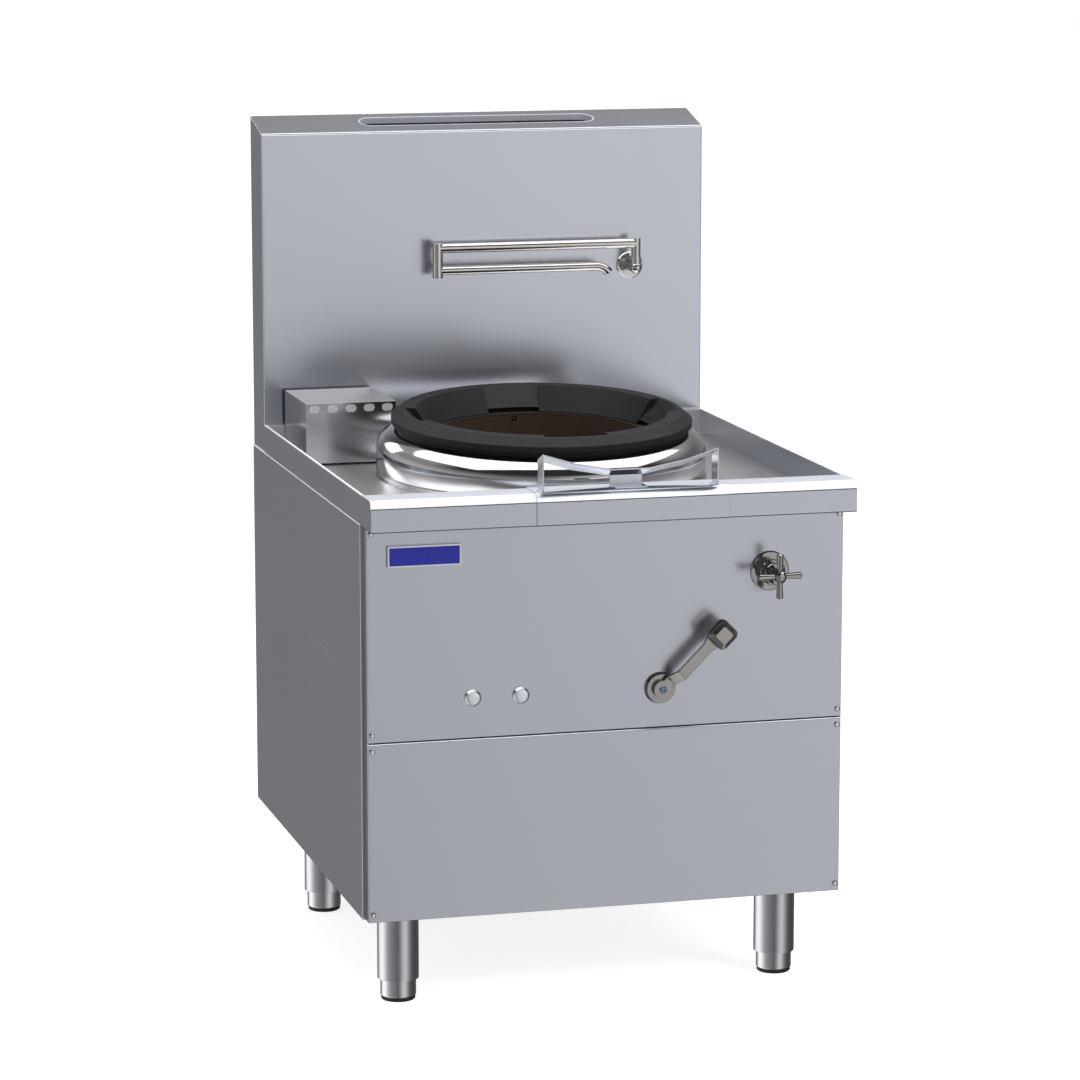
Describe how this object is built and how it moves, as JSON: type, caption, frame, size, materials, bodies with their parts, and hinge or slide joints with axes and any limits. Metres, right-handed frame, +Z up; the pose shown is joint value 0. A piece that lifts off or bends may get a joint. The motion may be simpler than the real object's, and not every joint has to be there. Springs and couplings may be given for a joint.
{
  "type": "gas wok range",
  "caption": "Free-standing gas wok range: cast ring on a polished collar, strainer basket, wok rest on the front rail, swing spout, water tap, knee lever and push buttons.",
  "frame": {"origin": "on the floor, under the middle of the range's overall width and depth", "axes": "+X to the cook's right, +Y to the rear (splashback), +Z up"},
  "size_m": [0.702, 0.8364, 1.2135],
  "materials": {
    "brushed_panel": "brushed, satin",
    "splash_sheet": "fine brushed",
    "hob_sheet": "fine brushed, slightly worn",
    "galvanised_sheet": "dull",
    "screw_steel": "polished",
    "polished_collar": "bright polished",
    "cast_ring": "matt black, sand cast",
    "cast_burner": "rough cast",
    "jet_brass": "dull",
    "refractory": "dark fired brick",
    "basket_sheet": "brushed",
    "rest_sheet": "satin",
    "leg_tube": "polished tube",
    "foot_steel": "polished",
    "foot_rubber": "matt black",
    "spout_chrome": "bright",
    "tap_chrome": "bright",
    "valve_brass": "plated",
    "lever_metal": "satin plated, pewter grey",
    "button_metal": "satin plated",
    "pipe_steel": "dull galvanised",
    "pipe_copper": "dull copper"
  },
  "bodies": {
    "range": {"left_side_panel": "brushed_panel", "right_side_panel": "brushed_panel", "rear_panel": "brushed_panel", "upper_front_panel": "brushed_panel", "lower_front_panel": "brushed_panel", "splashback_left_side": "brushed_panel", "splashback_right_side": "brushed_panel", "splashback_rear_cover": "brushed_panel", "splashback_front": "splash_sheet", "splashback_cap": "splash_sheet", "front_rail": "hob_sheet", "left_rim": "hob_sheet", "right_rim": "hob_sheet", "hob_deck": "hob_sheet", "base_panel": "galvanised_sheet", "flue_duct": "galvanised_sheet", "chamber_shell": "galvanised_sheet", "front_panel_screws": "screw_steel", "burner_collar": "polished_collar", "burner_body": "cast_burner", "burner_jets": "jet_brass", "brick_lining": "refractory", "leg_front_left": "leg_tube", "leg_front_right": "leg_tube", "leg_rear_left": "leg_tube", "leg_rear_right": "leg_tube", "spout_wall_fixing": "spout_chrome", "spout_elbow": "spout_chrome", "tap_flange": "tap_chrome", "tap_valve": "valve_brass", "gas_valve": "valve_brass", "lever_flange": "lever_metal", "switch_bodies": "button_metal", "gas_inlet_pipe": "pipe_steel", "burner_gas_pipe": "pipe_steel", "waste_outlet": "pipe_steel", "water_inlet_pipe": "pipe_copper", "water_riser_pipe": "pipe_copper", "pilot_line": "pipe_copper"},
    "wok_ring": {"wok_ring": "cast_ring"},
    "strainer_basket": {"strainer_basket": "basket_sheet"},
    "wok_rest": {"rest_saddle": "rest_sheet", "rest_cradle": "rest_sheet", "rest_supports": "rest_sheet"},
    "spout_upper_arm": {"spout_upper_arm": "spout_chrome"},
    "spout_lower_arm": {"spout_lower_arm": "spout_chrome"},
    "tap_handle": {"tap_handle": "tap_chrome", "tap_spindle": "tap_chrome"},
    "knee_lever": {"knee_lever": "lever_metal", "gas_valve_spindle": "valve_brass"},
    "pilot_button": {"pilot_button": "button_metal"},
    "igniter_button": {"igniter_button": "button_metal"},
    "foot_front_left": {"foot_front_left": "foot_steel", "foot_pad_front_left": "foot_rubber"},
    "foot_front_right": {"foot_front_right": "foot_steel", "foot_pad_front_right": "foot_rubber"},
    "foot_rear_left": {"foot_rear_left": "foot_steel", "foot_pad_rear_left": "foot_rubber"},
    "foot_rear_right": {"foot_rear_right": "foot_steel", "foot_pad_rear_right": "foot_rubber"}
  },
  "joints": [
    {"name": "wok_ring_lift", "type": "slide", "parent": "range", "child": "wok_ring", "axis": [0, -0.0558, 0.9984], "range_m": [0, 0.1]},
    {"name": "strainer_basket_lift", "type": "slide", "parent": "range", "child": "strainer_basket", "axis": [0, 0, 1], "range_m": [0, 0.12]},
    {"name": "wok_rest_lift", "type": "slide", "parent": "range", "child": "wok_rest", "axis": [0, 0, 1], "range_m": [0, 0.1]},
    {"name": "spout_swing", "type": "hinge", "parent": "range", "child": "spout_upper_arm", "pos_m": [0.2325, 0.29725, 1], "axis": [0, 0, 1], "range_deg": [0, 180]},
    {"name": "spout_elbow_swing", "type": "hinge", "parent": "spout_upper_arm", "child": "spout_lower_arm", "pos_m": [-0.084, 0.29725, 0.985], "axis": [0, 0, 1], "range_deg": [-180, 0]},
    {"name": "tap_turn", "type": "hinge", "parent": "range", "child": "tap_handle", "pos_m": [0.2374, -0.40825, 0.6154], "axis": [0, -1, 0], "range_deg": [0, 90]},
    {"name": "knee_lever_turn", "type": "hinge", "parent": "range", "child": "knee_lever", "pos_m": [0.0763, -0.37325, 0.4548], "axis": [0, -1, 0], "range_deg": [0, 90]},
    {"name": "pilot_button_press", "type": "slide", "parent": "range", "child": "pilot_button", "axis": [0, 1, 0], "range_m": [0, 0.004], "stiffness_N_per_m": 300},
    {"name": "igniter_button_press", "type": "slide", "parent": "range", "child": "igniter_button", "axis": [0, 1, 0], "range_m": [0, 0.004], "stiffness_N_per_m": 300},
    {"name": "foot_turn_front_left", "type": "hinge", "parent": "range", "child": "foot_front_left", "pos_m": [-0.2825, -0.26125, 0.03], "axis": [0, 0, 1], "continuous": true},
    {"name": "foot_turn_front_right", "type": "hinge", "parent": "range", "child": "foot_front_right", "pos_m": [0.2825, -0.26125, 0.03], "axis": [0, 0, 1], "continuous": true},
    {"name": "foot_turn_rear_left", "type": "hinge", "parent": "range", "child": "foot_rear_left", "pos_m": [-0.2825, 0.24375, 0.03], "axis": [0, 0, 1], "continuous": true},
    {"name": "foot_turn_rear_right", "type": "hinge", "parent": "range", "child": "foot_rear_right", "pos_m": [0.2825, 0.24375, 0.03], "axis": [0, 0, 1], "continuous": true}
  ]
}
